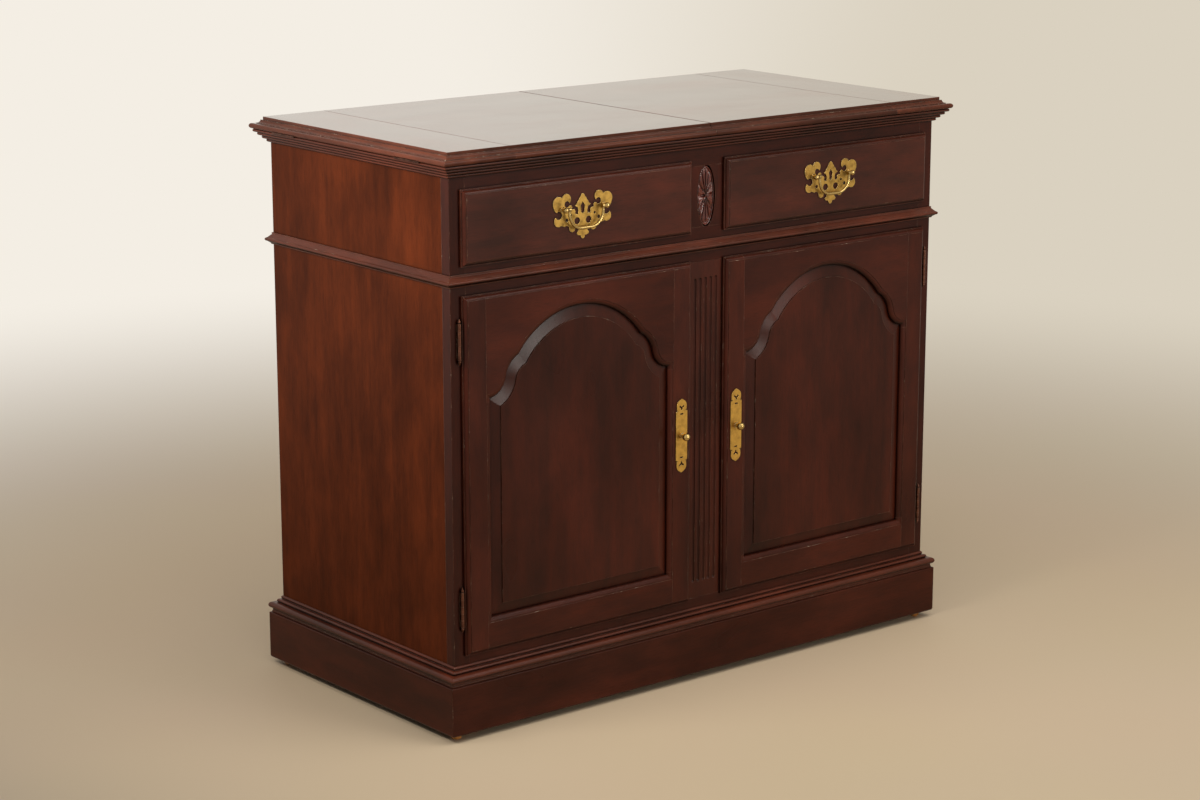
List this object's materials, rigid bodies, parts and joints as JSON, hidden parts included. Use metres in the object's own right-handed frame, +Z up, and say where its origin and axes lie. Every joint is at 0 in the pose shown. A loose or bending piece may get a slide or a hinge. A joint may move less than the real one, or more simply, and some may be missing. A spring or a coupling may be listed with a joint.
{
  "type": "flip-top server",
  "caption": "Mahogany flip-top server: two leaves flip out over a serving surface, above drawers and a cupboard with arched raised-panel doors.",
  "frame": {"origin": "on the floor, under the middle of the whole object's box", "axes": "+X to the viewer's right along the width, +Y from the front to the back, +Z up"},
  "size_m": [1.012, 0.5124, 0.876],
  "materials": {
    "mahogany_case": "satin lacquer",
    "mahogany_front": "satin lacquer",
    "mahogany_panel": "satin lacquer",
    "mahogany_moulding": "satin lacquer",
    "mahogany_top": "polished lacquer",
    "inner_wood": "clear sealed",
    "laminate": "satin",
    "brass": "antique polished",
    "dark_brass": "aged",
    "steel": "zinc plated",
    "nylon": "moulded"
  },
  "bodies": {
    "cabinet": {"left_side_panel": "mahogany_case", "right_side_panel": "mahogany_case", "back_panel": "mahogany_case", "bottom_panel": "inner_wood", "dust_panel": "inner_wood", "sub_top": "mahogany_case", "serving_surface": "laminate", "drawer_divider": "inner_wood", "face_frame_stiles": "mahogany_front", "face_frame_rails": "mahogany_front", "centre_stiles": "mahogany_front", "fluted_pilaster": "mahogany_front", "carved_rosette": "mahogany_front", "cornice_moulding": "mahogany_moulding", "waist_moulding": "mahogany_moulding", "base_moulding": "mahogany_moulding", "plinth_boards": "mahogany_front", "plinth_corner_blocks": "inner_wood", "floor_glides": "nylon", "cupboard_shelf": "inner_wood", "shelf_pins": "brass", "drawer_guides": "inner_wood", "magnetic_catches": "steel", "door_hinge_frame_leaves": "dark_brass", "door_hinge_pins": "dark_brass", "flip_hinge_case_leaves": "dark_brass"},
    "left_leaf": {"left_leaf_panel": "mahogany_top", "left_leaf_end_board": "mahogany_top", "left_leaf_laminate": "laminate", "left_leaf_hinge_leaves": "dark_brass"},
    "right_leaf": {"right_leaf_panel": "mahogany_top", "right_leaf_end_board": "mahogany_top", "right_leaf_laminate": "laminate", "right_leaf_hinge_leaves": "dark_brass"},
    "left_door": {"left_door_stiles": "mahogany_front", "left_door_arched_rail": "mahogany_front", "left_door_bottom_rail": "mahogany_front", "left_door_raised_panel": "mahogany_panel", "left_door_hinge_leaves": "dark_brass", "left_door_knob_plate": "brass", "left_door_knob": "brass", "left_door_strike_plate": "steel"},
    "right_door": {"right_door_stiles": "mahogany_front", "right_door_arched_rail": "mahogany_front", "right_door_bottom_rail": "mahogany_front", "right_door_raised_panel": "mahogany_panel", "right_door_hinge_leaves": "dark_brass", "right_door_knob_plate": "brass", "right_door_knob": "brass", "right_door_strike_plate": "steel"},
    "left_drawer": {"left_drawer_front": "mahogany_panel", "left_drawer_box": "inner_wood", "left_pull_plate": "brass", "left_pull_posts": "brass"},
    "right_drawer": {"right_drawer_front": "mahogany_panel", "right_drawer_box": "inner_wood", "right_pull_plate": "brass", "right_pull_posts": "brass"},
    "left_bail": {"left_bail": "brass"},
    "right_bail": {"right_bail": "brass"}
  },
  "joints": [
    {"name": "left_leaf_flip", "type": "hinge", "parent": "cabinet", "child": "left_leaf", "pos_m": [-0.5044, 0.00215, 0.85765], "axis": [0, -1, 0], "range_deg": [0, 180]},
    {"name": "right_leaf_flip", "type": "hinge", "parent": "cabinet", "child": "right_leaf", "pos_m": [0.5044, 0.00215, 0.85765], "axis": [0, 1, 0], "range_deg": [0, 180]},
    {"name": "left_door_swing", "type": "hinge", "parent": "cabinet", "child": "left_door", "pos_m": [-0.469, -0.23135, 0.3965], "axis": [0, 0, -1], "range_deg": [0, 160]},
    {"name": "right_door_swing", "type": "hinge", "parent": "cabinet", "child": "right_door", "pos_m": [0.469, -0.23135, 0.3965], "axis": [0, 0, 1], "range_deg": [0, 160]},
    {"name": "left_drawer_slide", "type": "slide", "parent": "cabinet", "child": "left_drawer", "axis": [0, -1, 0], "range_m": [0, 0.3]},
    {"name": "right_drawer_slide", "type": "slide", "parent": "cabinet", "child": "right_drawer", "axis": [0, -1, 0], "range_m": [0, 0.3]},
    {"name": "left_bail_swing", "type": "hinge", "parent": "left_drawer", "child": "left_bail", "pos_m": [-0.24875, -0.24785, 0.774], "axis": [-1, 0, 0], "range_deg": [-11, 85]},
    {"name": "right_bail_swing", "type": "hinge", "parent": "right_drawer", "child": "right_bail", "pos_m": [0.24875, -0.24785, 0.774], "axis": [-1, 0, 0], "range_deg": [-11, 85]}
  ]
}
